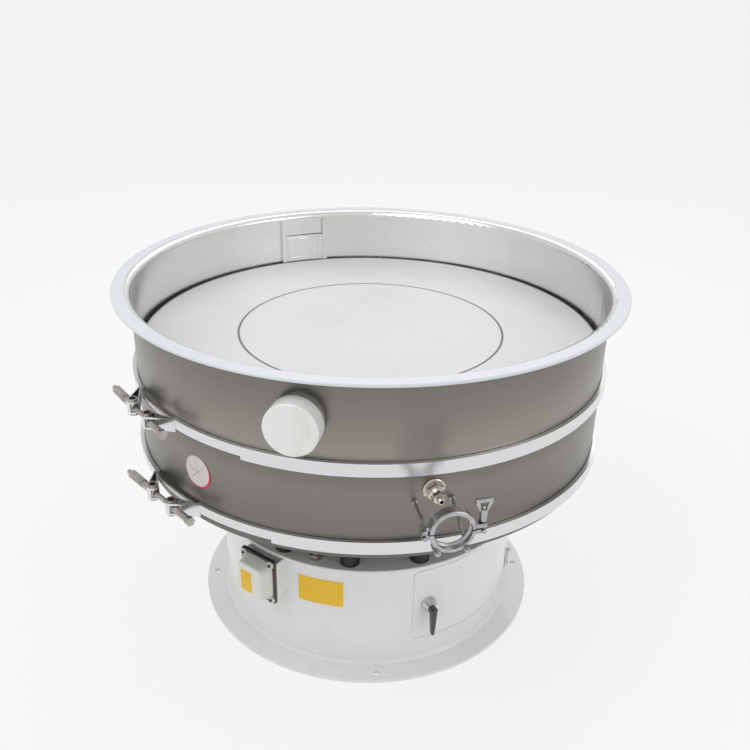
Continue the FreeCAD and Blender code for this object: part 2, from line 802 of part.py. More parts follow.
def screen_frame():
    half = leaf_thickness / 2
    top = screen_level - mesh_thickness
    inner = screen_radius - screen_ring_wall
    return revolved([(inner, upper_joint - half), (flange_radius - 3.5, upper_joint - half),
                     (flange_radius - 3.5, upper_joint + half), (screen_radius, upper_joint + half),
                     (screen_radius, top), (inner, top)])


def screen_mesh():
    return cylinder(screen_radius - 1, Vector(0, 0, screen_level - mesh_thickness), Vector(0, 0, screen_level))


def resonator_ring():
    """Ring under the mesh that spreads the ultrasound, on bars to the screen frame."""
    top = screen_level - mesh_thickness - rest
    bottom = top - resonator_depth
    half = resonator_width / 2
    ring = revolved([(resonator_radius - half, bottom), (resonator_radius + half, bottom),
                     (resonator_radius + half, top), (resonator_radius - half, top)])
    frame_inner = screen_radius - screen_ring_wall
    bar = box(resonator_radius, frame_inner + 5, -half, half, bottom, top - 4)
    limit = cylinder(frame_inner, Vector(0, 0, bottom - 1), Vector(0, 0, top + 1))
    return fuse([ring] + around(bar.common(limit), spoke_count, holder_azimuth - 90))


def gate_angle():
    return math.degrees((coarse_width / 2 + gate_overlap) / (shell_inner - gate_gap))


def gate_radii():
    return shell_inner - gate_gap - gate_sheet, shell_inner - gate_gap


def discharge_gate():
    """Curved plate that closes the coarse spout, with a raised frame and a finger tab."""
    r_in, r_out = gate_radii()
    half = gate_angle()
    bottom = coarse_bottom - gate_overlap + 0.5
    top = coarse_bottom + coarse_height + gate_overlap
    inset = math.degrees(9.0 / r_in)
    plate = sector(r_in, r_out, bottom, top, coarse_azimuth - half, coarse_azimuth + half)
    frame = sector(r_in - 2.5, r_in, bottom + 4, top - 4, coarse_azimuth - half + inset, coarse_azimuth + half - inset)
    field = sector(r_in - 4, r_in + 1, bottom + 11, top - 11, coarse_azimuth - half + 1.9 * inset,
                   coarse_azimuth + half - 1.9 * inset)
    frame = frame.cut(field)
    tab = placed(box(-10, 1, -14, 14, -1.5, 1.5), frame_at(r_in, coarse_azimuth, top - 8))
    return fuse([plate, frame, tab])


def gate_guides():
    r_in, r_out = gate_radii()
    half = gate_angle()
    turn = math.degrees(1 / r_in)
    bottom = screen_level + 1.0
    top = coarse_bottom + coarse_height + gate_travel + 4
    pieces = []
    for side in (-1, 1):
        a0, a1 = sorted((half - 4 * turn, half + guide_width * turn - 4 * turn))
        g0, g1 = sorted((half - 5 * turn, half + slide_clearance * turn))
        span = sorted((coarse_azimuth + side * a0, coarse_azimuth + side * a1))
        slot = sorted((coarse_azimuth + side * g0, coarse_azimuth + side * g1))
        rail = sector(r_in - 3.0, shell_inner, bottom, top, *span)
        way = sector(r_in - slide_clearance, r_out + slide_clearance, bottom - 1, top + 1, *slot)
        pieces.append(rail.cut(way))
    return pieces


# ---------------------------------------------------------------- inspection port

def port_frame():
    return frame_at(body_radius, port_azimuth, port_level)


def port_cap():
    """Push-on plastic cap with a flat face."""
    bore = port_radius + cap_clearance
    outer = bore + cap_wall
    face = port_length + cap_clearance
    start = face - cap_depth
    profile = [(bore, start), (outer, start), (outer, face + 2), (outer - 2, face + cap_wall),
               (0, face + cap_wall), (0, face), (bore, face)]
    return placed(revolved(profile, Vector(1, 0, 0)), port_frame())


# ---------------------------------------------------------------- transducer holder

def holder_frame():
    return frame_at(body_radius, holder_azimuth, holder_level)


def clamp_frame():
    """The holder's frame moved sideways to the pipe clamp's axis."""
    return holder_frame().multiply(Placement(Vector(0, holder_offset, 0), Rotation()))


def along(x, y=0.0, z=0.0):
    return Vector(x, y, z)


def side_fitting():
    """Bulkhead body: stem through the wall, washer flange, hexagon and reducer."""
    stem = cylinder(fitting_bore_radius - 0.1, along(-12), along(2))
    flange = revolved([(0, 0.4), (21, 0.4), (21, 3), (19, 5), (0, 5)], Vector(1, 0, 0))
    nut = hexagon(30, along(5), along(15))
    neck = revolved([(0, 15), (13, 15), (13, 19), (9.5, 25), (0, 25)], Vector(1, 0, 0))
    back_nut = hexagon(30, along(-11), along(-4))
    body = fuse([stem, flange, nut, neck, back_nut])
    return placed(body.cut(cylinder(6, along(-20), along(30))), holder_frame())


def side_gland():
    """Hexagon gland nut with the threaded spigot."""
    nut = hexagon(21, along(25), along(34))
    spigot = revolved([(0, 34), (7, 34), (7, 43), (5.5, 46), (0, 46)], Vector(1, 0, 0))
    return placed(fuse([nut, spigot]).cut(cylinder(3.5, along(20), along(50))), holder_frame())


def stud_ends(side):
    lug = math.radians(lug_angle)
    root = along(0, side * stud_spacing_wall / 2 - holder_offset, -stud_drop_wall)
    end = along(holder_reach, side * lug_circle * math.cos(lug), -lug_circle * math.sin(lug))
    return root, end


def holder_studs():
    pieces = []
    for side in (-1, 1):
        root, end = stud_ends(side)
        reach = (end - root).normalize()
        stud = cylinder(stud_radius, root - reach * 1.5, end + reach * (clamp_width / 2 + 7))
        weld = cylinder(stud_radius + 2, root - reach * 1.5, root + reach * 3)
        nut_start = end + reach * (clamp_width / 2 + 0.3)
        nut = hexagon(10, nut_start, nut_start + reach * 5)
        wall_cut = clamp_frame().inverse()
        shell = placed(cylinder(body_radius, Vector(0, 0, 0), Vector(0, 0, total_height)), wall_cut)
        pieces.append(placed(fuse([stud, weld, nut]).cut(shell), clamp_frame()))
    return pieces


def clamp_ring():
    """Tapered channel of the pipe clamp, about the holder's axis."""
    half = clamp_width / 2
    inner, outer = clamp_inner, clamp_outer
    ring = revolved([(inner, -half), (outer - 1.5, -half), (outer, 1.5 - half), (outer, half - 1.5),
                     (outer - 1.5, half), (inner, half), (inner, half - 3), (inner + 3.5, half - 5.5),
                     (inner + 3.5, 5.5 - half), (inner, 3 - half)], Vector(1, 0, 0))
    ring.translate(along(holder_reach))
    return ring


def ear(z0, z1):
    x = holder_reach
    plate = box(x - 8, x + 8, clamp_outer - 4, ear_reach, z0, z1)
    upright = [edge for edge in plate.Edges
               if abs(edge.tangentAt(edge.FirstParameter).z) > 0.9 and edge.Vertexes[0].Point.y > ear_reach - 1]
    plate = plate.makeFillet(4, upright)
    slot = box(x - bolt_radius - 0.8, x + bolt_radius + 0.8, bolt_pivot_reach - 6.5, ear_reach + 1, z0 - 1, z1 + 1)
    return plate.cut(slot)


def link_eye(side):
    """Lug on one half that takes a link pin."""
    x = holder_reach
    z = side * link_pitch / 2
    eye = cylinder(4.6, along(x - 3.5, -link_reach, z), along(x + 3.5, -link_reach, z))
    z0, z1 = sorted((z - side * 2.6, z + side * 4.6))
    arm = box(x - 3.5, x + 3.5, -link_reach, -clamp_outer + 4, z0, z1)
    hole = cylinder(pin_radius + rod_fit, along(x - 10, -link_reach, z), along(x + 10, -link_reach, z))
    return fuse([eye, arm]).cut(hole)


def clamp_half(side):
    x = holder_reach
    gap = clamp_split / 2
    z0, z1 = sorted((side * gap, side * 60))
    half_space = box(x - 30, x + 30, -60, 60, z0, z1)
    pieces = [clamp_ring().common(half_space), link_eye(side)]
    pieces.append(ear(*sorted((side * gap, side * (gap + ear_thickness)))))
    core = cylinder(clamp_inner + 3, along(x - 30), along(x + 30))
    pieces[1] = pieces[1].cut(core)
    pieces[2] = pieces[2].cut(core)
    cuts = []
    if side < 0:
        for stud_side in (-1, 1):
            root, end = stud_ends(stud_side)
            reach = (end - root).normalize()
            face = clamp_width / 2
            pieces.append(cylinder(5.5, end - reach * face, end + reach * face).cut(core))
            cuts.append(cylinder(stud_radius, end - reach * 30, end + reach * 30))
        pivot_z = -gap - ear_thickness / 2
        cuts.append(cylinder(pin_radius + rod_fit, along(x - 12, bolt_pivot_reach, pivot_z),
                             along(x + 12, bolt_pivot_reach, pivot_z)))
    solid = fuse(pieces)
    if cuts:
        solid = solid.cut(cuts)
    return placed(solid, clamp_frame())


def clamp_link():
    """Two link plates, one on each face of the lugs."""
    plates = []
    for side in (-1, 1):
        x0, x1 = sorted((holder_reach + side * 3.9, holder_reach + side * 6.4))
        top = along(x0, -link_reach, link_pitch / 2)
        bottom = along(x0, -link_reach, -link_pitch / 2)
        depth = along(x1 - x0)
        plate = fuse([cylinder(4.2, top, top + depth), cylinder(4.2, bottom, bottom + depth),
                      box(x0, x1, -link_reach - 4.2, -link_reach + 4.2, bottom.z, top.z)])
        holes = [cylinder(pin_radius, p - along(1), p + depth + along(1)) for p in (top, bottom)]
        plates.append(placed(plate.cut(holes), clamp_frame()))
    return plates


def clamp_pins():
    pins = []
    spots = [(-link_reach, link_pitch / 2), (-link_reach, -link_pitch / 2),
             (bolt_pivot_reach, -clamp_split / 2 - ear_thickness / 2)]
    for y, z in spots:
        reach = 9.0
        pin = cylinder(pin_radius, along(holder_reach - reach, y, z), along(holder_reach + reach, y, z))
        heads = [cylinder(pin_radius + 1.3, along(holder_reach + s * reach, y, z),
                          along(holder_reach + s * (reach + 1.6), y, z)) for s in (-1, 1)]
        pins.append(placed(fuse([pin] + heads), clamp_frame()))
    return pins


def swing_bolt():
    z = -clamp_split / 2 - ear_thickness / 2
    x, y = holder_reach, bolt_pivot_reach
    half = bolt_radius + bolt_eye_side
    eye = cylinder(5.2, along(x - half, y, z), along(x + half, y, z))
    shank = cylinder(bolt_radius, along(x, y, z), along(x, y, z + bolt_length))
    hole = cylinder(pin_radius + rod_fit, along(x - 10, y, z), along(x + 10, y, z))
    return placed(fuse([eye, shank]).cut(hole), clamp_frame())


def wing_nut():
    """Long sleeve nut with two legs that carry a flat bar."""
    x, y = holder_reach, bolt_pivot_reach
    bottom = clamp_split / 2 + ear_thickness + nut_lift
    sleeve = cylinder(wing_nut_sleeve, along(x, y, bottom), along(x, y, bottom + 22))
    top = bottom + wing_height
    legs = []
    for side in (-1, 1):
        outline = [along(x, y, bottom + 18), along(x, y + side * 7, bottom + 18),
                   along(x, y + side * wing_span, top), along(x, y + side * (wing_span - 7), top),
                   along(x, y + side * 4.5, bottom + 23), along(x, y, bottom + 23)]
        leg = Part.Face(Part.makePolygon(outline + outline[:1])).extrude(along(5))
        leg.translate(along(-2.5))
        legs.append(leg)
    bar = box(x - 4, x + 4, y - wing_span, y + wing_span, top, top + wing_bar)
    bar = bar.makeFillet(2, bar.Edges)
    bore = cylinder(bolt_radius + rod_fit, along(x, y, bottom - 1), along(x, y, top))
    return placed(fuse([sleeve, bar] + legs).cut(bore), clamp_frame())


# ---------------------------------------------------------------- vibration motor

def motor_housing():
    """Finned housing hung by its flange under the floor plate."""
    flange_top = floor_plate_bottom - rest
    bore = shaft_radius + 18
    profile = [(bore, motor_bottom), (motor_radius - 14, motor_bottom), (motor_radius - 6, motor_bottom + 8),
               (motor_radius - 6, flange_top - 14), (motor_flange_radius, flange_top - 14),
               (motor_flange_radius, flange_top), (motor_radius - 8, flange_top), (motor_radius - 8, motor_top - 18),
               (motor_radius - 26, motor_top), (bore, motor_top), (bore, motor_top - 24),
               (bore + 26, motor_top - 32), (bore + 26, motor_bottom + 32), (bore, motor_bottom + 24)]
    body = revolved(profile)
    fin = box(-2, 2, -motor_radius - 3, -motor_radius + 8, motor_bottom + 24, flange_top - 14)
    bolt = cylinder(5.5, Vector(0, -motor_bolt_circle, flange_top - 30), Vector(0, -motor_bolt_circle, flange_top + 1))
    return fuse([body] + around(fin, fin_count)).cut(around(bolt, motor_bolt_count))


def motor_bearings():
    rings = []
    for z in (motor_bottom, motor_top - 24):
        outer = shaft_radius + 18
        rings.append(tube(outer, shaft_radius + shaft_fit, Vector(0, 0, z), Vector(0, 0, z + 24)))
    return rings


def motor_bolts():
    under = floor_plate_bottom - rest - 14
    above = floor_plate_bottom + floor_plate_thickness + 6
    bolt = cylinder(5, Vector(0, -motor_bolt_circle, under - 7), Vector(0, -motor_bolt_circle, above + 12))
    head = hexagon(17, Vector(0, -motor_bolt_circle, under - 7), Vector(0, -motor_bolt_circle, under))
    nut = hexagon(17, Vector(0, -motor_bolt_circle, above), Vector(0, -motor_bolt_circle, above + 9))
    return around(fuse([bolt, head, nut]), motor_bolt_count)


def rotor_shaft():
    low = motor_bottom - weight_gap - 2 * weight_thickness - 16
    high = motor_top + weight_gap + weight_thickness + 10
    shaft = cylinder(shaft_radius, Vector(0, 0, low), Vector(0, 0, high))
    core = cylinder(shaft_radius + 34, Vector(0, 0, motor_bottom + 50), Vector(0, 0, motor_top - 50))
    return fuse([shaft, core])


def eccentric(z0, thickness, heading):
    """Fan-shaped weight clamped on the shaft."""
    fan = Part.makeCylinder(weight_radius, thickness, Vector(0, 0, z0), Vector(0, 0, 1), 150)
    fan.rotate(Vector(0, 0, 0), Vector(0, 0, 1), heading - 75)
    hub = cylinder(shaft_radius + 14, Vector(0, 0, z0), Vector(0, 0, z0 + thickness))
    bore = cylinder(shaft_radius + shaft_fit, Vector(0, 0, z0 - 1), Vector(0, 0, z0 + thickness + 1))
    return fuse([fan, hub]).cut(bore)


def main():
    levels = hinge_levels()
    low_weight = motor_bottom - weight_gap - weight_thickness
    nodes = {
        "base_foot": [base_foot()],
        "base_shell": [base_shell()],
        "base_top": [base_top()],
        "rubber_springs": rubber_springs(),
        "spring_lower_nuts": stud_and_nut(base_height, base_height - base_plate, -1),
        "limit_studs": limit_studs(),
        "door_hinge_leaves": [hinge_half(level, 1) for level in levels],
        "door_hinge_pins": [hinge_pin(level) for level in levels],
        "box_bracket": [box_bracket()],
        "junction_box": [junction_box()],
        "junction_box_cover": [junction_cover()],
        "junction_box_screws": junction_screws(),
        "caution_labels": caution_labels(),
        "access_door": [access_door()],
        "door_hinge_knuckles": [hinge_half(level, -1) for level in levels],
        "handle_rosette": [handle_rosette()],
        "door_handle": [door_handle()],
        "handle_cam": [handle_cam()],
        "lower_frame": [lower_frame()],
        "spring_upper_nuts": stud_and_nut(floor_plate_bottom, floor_plate_bottom + floor_plate_thickness, 1),
        "discharge_dome": [discharge_dome()],
        "lower_seal": [seal(lower_joint)],
        "middle_frame": [middle_frame()],
        "fines_spout": [fines_duct()[0]],
        "disc_label": [disc_label()],
        "screen_seal": [seal(upper_joint)],
        "screen_frame": [screen_frame()],
        "screen_mesh": [screen_mesh()],
        "resonator_ring": [resonator_ring()],
        "upper_frame": [upper_frame()],
        "coarse_spout": [coarse_duct()[0]],
        "inspection_pipe": [inspection_pipe()],
        "rim_trim": [rim_trim()],
        "port_cap": [port_cap()],
        "gate_guides": gate_guides(),
        "discharge_gate": [discharge_gate()],
        "side_fitting": [side_fitting()],
        "side_gland": [side_gland()],
        "holder_studs": holder_studs(),
        "holder_clamp_lower": [clamp_half(-1)],
        "holder_clamp_upper": [clamp_half(1)],
        "holder_clamp_link": clamp_link(),
        "holder_clamp_pins": clamp_pins(),
        "swing_bolt": [swing_bolt()],
        "wing_nut": [wing_nut()],
        "motor_housing": [motor_housing()],
        "motor_bearings": motor_bearings(),
        "motor_bolts": motor_bolts(),
        "rotor_shaft": [rotor_shaft()],
        "upper_weight": [eccentric(motor_top + weight_gap, weight_thickness, 0)],
        "lower_weight": [eccentric(low_weight, weight_thickness, 0)],
        "phase_weight": [eccentric(low_weight - weight_thickness - 1, weight_thickness, 60)],
    }
    for name, level, azimuth in (("lower", lower_joint, lower_latch_azimuth),
                                 ("upper", upper_joint, upper_latch_azimuth)):
        nodes[name + "_clamp_band"] = [clamp_band(level, azimuth)]
        nodes[name + "_latch_trunnions"] = trunnions(level, azimuth)
        nodes[name + "_latch_rod"] = latch_rod(level, azimuth)
        nodes[name + "_latch_nut"] = [latch_nut(level, azimuth)]
    os.makedirs("parts", exist_ok=True)
    for name, solids in nodes.items():
        shape = solids[0] if len(solids) == 1 else Part.makeCompound(solids)
        shape.exportStep("parts/" + name + ".step")


main()
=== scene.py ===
import math

import bmesh
import bpy
from mathutils import Matrix, Vector


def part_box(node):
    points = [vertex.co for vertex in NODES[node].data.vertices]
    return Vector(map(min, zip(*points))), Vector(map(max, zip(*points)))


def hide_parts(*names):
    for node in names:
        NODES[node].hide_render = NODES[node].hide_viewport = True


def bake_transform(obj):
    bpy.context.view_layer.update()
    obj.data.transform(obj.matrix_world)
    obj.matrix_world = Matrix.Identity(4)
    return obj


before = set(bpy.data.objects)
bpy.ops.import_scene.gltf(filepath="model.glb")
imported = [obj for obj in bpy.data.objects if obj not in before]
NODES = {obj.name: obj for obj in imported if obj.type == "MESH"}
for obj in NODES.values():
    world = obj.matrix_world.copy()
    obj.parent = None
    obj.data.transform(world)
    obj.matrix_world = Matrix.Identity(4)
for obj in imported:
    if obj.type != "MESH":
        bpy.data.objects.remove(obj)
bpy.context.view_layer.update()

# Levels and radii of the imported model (metres).
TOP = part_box("rim_trim")[1][2]
FRAME_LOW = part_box("lower_frame")[0][2]
FLANGE_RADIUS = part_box("lower_frame")[1][0]
BASE_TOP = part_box("base_top")[1][2]
SCREEN_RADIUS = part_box("screen_mesh")[1][0]
RESONATOR_RADIUS = 0.286

# Inner walls that get painted light: how far inside the flanges' edge their faces lie, and how deep
# the rolled rim is.
INNER_WALL_MARGIN = 0.006
ROLLED_RIM_DEPTH = 0.03

# Rubber springs: how many, on which circle, from which azimuth, and their own sizes.
SPRING_COUNT = 14
SPRING_CIRCLE = 0.327
SPRING_PHASE = math.radians(-6.2)
SPRING_RADIUS = 0.0200
SPRING_CHAMFER = 0.0015
SPRING_WAIST = 0.0012
SPRING_GROOVE = 0.0008
SPRING_GROOVES = 6
SPRING_PLAIN_END = 0.12
SPRING_STEPS = 22
TURNED_SEGMENTS = 40

# Angles beyond which an edge is drawn sharp.
SHARP_NODE = math.radians(28)
SHARP_TURNED = math.radians(40)

# Brightness of the outer walls by height, painted light and shade: darker under the rim and under
# each band (painted shade), lighter between them (painted reflection).
WALL_PAINTED_SHADING = (
    (0.40, 0.80), (0.45, 0.90), (0.50, 1.02), (0.545, 1.12), (0.58, 0.95), (0.597, 0.75),
    (0.604, 1.50), (0.65, 1.30), (0.70, 1.10), (0.75, 0.95), (0.776, 0.80),
)

# Wire cloth: the weave's pitch, and the half-width of the resonator's line through it.
WIRE_PITCH = 0.0012
RESONATOR_LINE = (0.0016, 0.0034)

# Round sticker: stroke width and length, the fan's lower edge, and the red crescent's circle.
STROKE_WIDTH = (0.0010, 0.0022)
STROKE_LENGTH = (0.024, 0.026)
STROKE_TURN = 0.32
FAN_SLOPE = 0.45
FAN_EDGE = (-0.010, -0.006)
CRESCENT_SHIFT = (0.0035, 0.0030)
CRESCENT_RADIUS = (0.0335, 0.0342)

# Stage: the floor's half-width, its own glow toward the camera, and the world's strengths.
FLOOR_HALF = 30.0
FLOOR_GLOW = 0.72
WORLD_LIGHT = 0.72
WORLD_SEEN = 1.0
LAMP_AIM = Vector((0, 0, 0.5))
LAMPS = (
    # name, place, size (metres), power (watts)
    ("key", (-1.6, -1.2, 3.2), 2.0, 26.0),
    ("fill", (2.6, -1.6, 2.2), 2.0, 12.0),
    ("back", (0.4, 2.6, 3.0), 2.2, 16.0),
)

# Camera: place, lens, shift and turn (radians).
CAMERA_PLACE = Vector((-0.0038, -1.822, 1.405))
CAMERA_SENSOR = 36.0
CAMERA_LENS = 43.13
CAMERA_SHIFT = (-0.0019, 0.0327)
CAMERA_PITCH, CAMERA_YAW, CAMERA_ROLL = 0.4708, 0.0107, 0.0211


# ---------------------------------------------------------------- node helpers

def scaled(color, factor):
    """A colour made lighter or darker, no part over 1."""
    return tuple(min(1.0, part * factor) for part in color)


class Shader:
    """A material's node tree with short calls for the nodes used here."""

    def __init__(self, name):
        self.material = bpy.data.materials.new(name)
        self.material.use_nodes = True
        self.tree = self.material.node_tree
        self.tree.nodes.clear()
        self.output = self.tree.nodes.new("ShaderNodeOutputMaterial")
        self.bsdf = self.tree.nodes.new("ShaderNodeBsdfPrincipled")
        self.link(self.bsdf.outputs["BSDF"], self.output.inputs["Surface"])
        self.place = self.add("ShaderNodeTexCoord").outputs["Object"]

    def add(self, kind, **values):
        node = self.tree.nodes.new(kind)
        for name, value in values.items():
            setattr(node, name, value)
        return node

    def link(self, source, target):
        self.tree.links.new(source, target)

    def set(self, **values):
        """Constant values of the surface, named with _ for a space."""
        for name, value in values.items():
            self.bsdf.inputs[name.replace("_", " ")].default_value = value

    def mapped(self, scale, source=None):
        node = self.add("ShaderNodeMapping")
        node.inputs["Scale"].default_value = scale
        self.link(source or self.place, node.inputs["Vector"])
        return node.outputs["Vector"]

    def noise(self, scale, detail=3.0, rough=0.5, vector=None):
        node = self.add("ShaderNodeTexNoise")
        node.inputs["Scale"].default_value = scale
        node.inputs["Detail"].default_value = detail
        node.inputs["Roughness"].default_value = rough
        self.link(vector or self.place, node.inputs["Vector"])
        return node.outputs["Fac"]

    def ramp(self, value, stops):
        node = self.add("ShaderNodeValToRGB")
        points = node.color_ramp.elements
        while len(points) < len(stops):
            points.new(0.5)
        for point, (position, color) in zip(points, stops):
            point.position = position
            point.color = (*color, 1)
        self.link(value, node.inputs["Fac"])
        return node.outputs["Color"]

    def range(self, value, low, high, start=0.0, end=1.0):
        """low to high as the value goes from start to end."""
        node = self.add("ShaderNodeMapRange")
        limits = (("From Min", start), ("From Max", end), ("To Min", low), ("To Max", high))
        for name, number in limits:
            node.inputs[name].default_value = number
        self.link(value, node.inputs["Value"])
        return node.outputs["Result"]

    def feed(self, sockets, values):
        """Gives each socket its number, colour or link."""
        for socket, value in zip(sockets, values):
            if isinstance(value, (int, float)):
                socket.default_value = value
            elif isinstance(value, tuple):
                socket.default_value = (*value, 1)
            else:
                self.link(value, socket)

    def math(self, operation, a, b=0.0):
        node = self.add("ShaderNodeMath", operation=operation)
        self.feed(node.inputs, (a, b))
        return node.outputs[0]

    def total(self, a, b):
        return self.math("ADD", a, b)

    def less(self, a, b):
        return self.math("SUBTRACT", a, b)

    def times(self, a, b):
        return self.math("MULTIPLY", a, b)

    def length(self, a, b):
        return self.math("SQRT", self.total(self.times(a, a), self.times(b, b)))

    def mix(self, fac, a, b, blend="MIX"):
        node = self.add("ShaderNodeMix", data_type="RGBA", blend_type=blend)
        self.feed((node.inputs[0], node.inputs[6], node.inputs[7]), (fac, a, b))
        return node.outputs[2]

    def color(self, value):
        self.feed([self.bsdf.inputs["Base Color"]], [value])

    def rough(self, value):
        self.link(value, self.bsdf.inputs["Roughness"])

    def bump(self, height, strength, distance):
        node = self.add("ShaderNodeBump")
        node.inputs["Strength"].default_value = strength
        node.inputs["Distance"].default_value = distance
        self.link(height, node.inputs["Height"])
        self.link(node.outputs["Normal"], self.bsdf.inputs["Normal"])

    def split(self):
        node = self.add("ShaderNodeSeparateXYZ")
        self.link(self.place, node.inputs[0])
        return node.outputs

    def radius(self):
        """Distance from the machine's axis."""
        x, y, _ = self.split()
        return self.length(x, y)

    def around(self):
        """Azimuth in radians, from the front toward +X."""
        x, y, _ = self.split()
        return self.math("ARCTAN2", x, self.times(y, -1.0))


# ---------------------------------------------------------------- materials

def turned_metal(name, color, rough, streak, scatter, marks=0.0, shade=()):
    """Rolled and polished steel: soft streaks round the machine and a cloudy tone.

    streak, scatter and marks are how much the streaks, the clouds and the short polishing
    strokes change the tone. shade lists (height in metres, brightness) up the wall: painted light
    and shade.
    """
    s = Shader(name)
    s.set(Metallic=1.0)
    unrolled = s.add("ShaderNodeCombineXYZ")
    s.link(s.times(s.around(), 0.5), unrolled.inputs[0])
    s.link(s.radius(), unrolled.inputs[1])
    s.link(s.split()[2], unrolled.inputs[2])
    streaks = s.noise(1.0, 3.0, 0.55, s.mapped((3, 8, 160), unrolled.outputs[0]))
    cloud = s.noise(4.0, 4.0, 0.55)
    stroke = s.noise(1.0, 3.0, 0.6, s.mapped((26, 3, 9), unrolled.outputs[0]))
    tone = s.total(s.range(streaks, -streak, streak, 0.2, 0.8),
                   s.range(cloud, -scatter, scatter, 0.2, 0.8))
    tone = s.total(tone, s.range(stroke, -marks, marks, 0.3, 0.7))
    stops = [(0.0, scaled(color, 0.7)), (0.5, color), (1.0, scaled(color, 1.3))]
    surface = s.ramp(s.total(tone, 0.5), stops)
    # Painted light and shade by height: the colour is darkened under the rim and bands and
    # lightened between them.
    if shade:
        bottom, top = shade[0][0], shade[-1][0]
        height = s.range(s.split()[2], 0.0, 1.0, bottom, top)
        # A ramp holds no more than 1, so it holds half the brightness and is doubled after.
        half = s.ramp(height, [((z - bottom) / (top - bottom), (level * 0.5,) * 3)
                               for z, level in shade])
        surface = s.mix(1.0, surface, half, "MULTIPLY")
        surface = s.mix(1.0, surface, surface, "ADD")
    s.color(surface)
    s.rough(s.total(s.range(streaks, rough - 0.04, rough + 0.05),
                    s.range(stroke, -marks, marks, 0.3, 0.7)))
    return s.material


def cast_metal(name, color, rough):
    """Small hardware: smooth, a little darker in patches."""
    s = Shader(name)
    s.set(Metallic=1.0)
    patches = s.noise(60.0, 3.0)
    s.color(s.ramp(patches, [(0.25, scaled(color, 0.75)), (0.5, color),
                             (0.75, scaled(color, 1.2))]))
    s.rough(s.range(patches, rough - 0.05, rough + 0.07, 0.3, 0.7))
    return s.material


def painted(name, color, rough):
    """Gloss enamel on steel: faint orange peel, a little dust and shade variation."""
    s = Shader(name)
    s.set(Coat_Weight=0.35, Coat_Roughness=0.12)
    peel = s.noise(240.0, 2.0)
    dust = s.noise(7.0, 5.0, 0.6)
    s.color(s.ramp(dust, [(0.3, scaled(color, 0.97)), (0.6, color), (0.9, scaled(color, 1.02))]))
    s.rough(s.range(dust, rough - 0.02, rough + 0.03, 0.3, 0.7))
    s.bump(peel, 0.05, 0.0003)
    return s.material


def moulded(name, color, rough, grain, coat, spread):
    """Moulded plastic or rubber with a fine grain; spread is how much its tone varies."""
    s = Shader(name)
    s.set(Coat_Weight=coat, Coat_Roughness=0.2)
    speck = s.noise(grain, 2.0)
    cloud = s.noise(18.0, 3.0)
    s.color(s.ramp(cloud, [(0.25, scaled(color, 1 - spread)), (0.5, color),
                           (0.8, scaled(color, 1 + spread))]))
    s.rough(s.range(speck, rough - 0.05, rough + 0.08, 0.3, 0.7))
    s.bump(speck, 0.10, 0.0003)
    return s.material


def wire_cloth(name):
    """Fine woven wire, pale, with the resonator ring showing through as a dark line."""
    s = Shader(name)
    s.set(Metallic=0.35)
    x, y, _ = s.split()
    wires = [s.math("SINE", s.times(axis, math.tau / WIRE_PITCH)) for axis in (x, y)]
    weave = s.times(*wires)
    cloud = s.noise(3.0, 4.0, 0.6)
    pale = s.ramp(cloud, [(0.25, (0.70, 0.70, 0.705)), (0.5, (0.76, 0.765, 0.77)),
                          (0.8, (0.80, 0.805, 0.81))])
    ring = s.math("ABSOLUTE", s.less(s.radius(), RESONATOR_RADIUS))
    line = s.range(ring, 1.0, 0.0, *RESONATOR_LINE)
    edge = s.range(s.radius(), 0.0, 1.0, SCREEN_RADIUS - 0.006, SCREEN_RADIUS - 0.002)
    s.color(s.mix(edge, s.mix(line, pale, (0.20, 0.20, 0.21)), (0.45, 0.46, 0.48)))
    s.rough(s.range(cloud, 0.42, 0.55, 0.3, 0.7))
    s.bump(weave, 0.25, 0.0003)
    return s.material


def cap_plastic(name):
    """Pale film-like plastic with shallow creases over the cap's face."""
    s = Shader(name)
    s.set(Coat_Weight=0.2, Coat_Roughness=0.2)
    creases = s.noise(22.0, 4.0, 0.6, s.mapped((1.0, 1.0, 0.45)))
    ridge = s.math("ABSOLUTE", s.less(creases, 0.5))
    s.color(s.ramp(creases, [(0.3, (0.74, 0.73, 0.70)), (0.5, (0.84, 0.84, 0.82)),
                             (0.7, (0.88, 0.88, 0.87))]))
    s.rough(s.range(creases, 0.32, 0.45, 0.3, 0.7))
    s.bump(ridge, 0.35, 0.004)
    return s.material


def disc_sticker(name):
    """White round sticker with a fan of grey strokes and a red crescent at its edge."""
    s = Shader(name)
    low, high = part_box("disc_label")
    center = [(a + b) / 2 for a, b in zip(low, high)]
    heading = math.atan2(center[0], -center[1])
    x, y, z = s.split()
    along = s.total(s.times(s.less(x, center[0]), math.cos(heading)),
                    s.times(s.less(y, center[1]), math.sin(heading)))
    up = s.less(z, center[2])
    reach = s.length(along, up)
    angle = s.math("ARCTAN2", up, along)
    spoke = s.math("ABSOLUTE", s.math("SINE", s.times(s.total(angle, STROKE_TURN), 3.0)))
    stroke = s.range(s.times(spoke, reach), 1.0, 0.0, *STROKE_WIDTH)
    fan = s.range(s.less(up, s.times(along, FAN_SLOPE)), 0.0, 1.0, *FAN_EDGE)
    stroke = s.times(s.times(stroke, fan), s.range(reach, 1.0, 0.0, *STROKE_LENGTH))
    offset = s.length(s.total(along, CRESCENT_SHIFT[0]), s.less(up, CRESCENT_SHIFT[1]))
    crescent = s.range(offset, 0.0, 1.0, *CRESCENT_RADIUS)
    paper = s.mix(s.times(stroke, 0.8), (0.66, 0.62, 0.60), (0.16, 0.15, 0.14))
    s.color(s.mix(crescent, paper, (0.60, 0.03, 0.05)))
    s.set(Roughness=0.4)
    return s.material


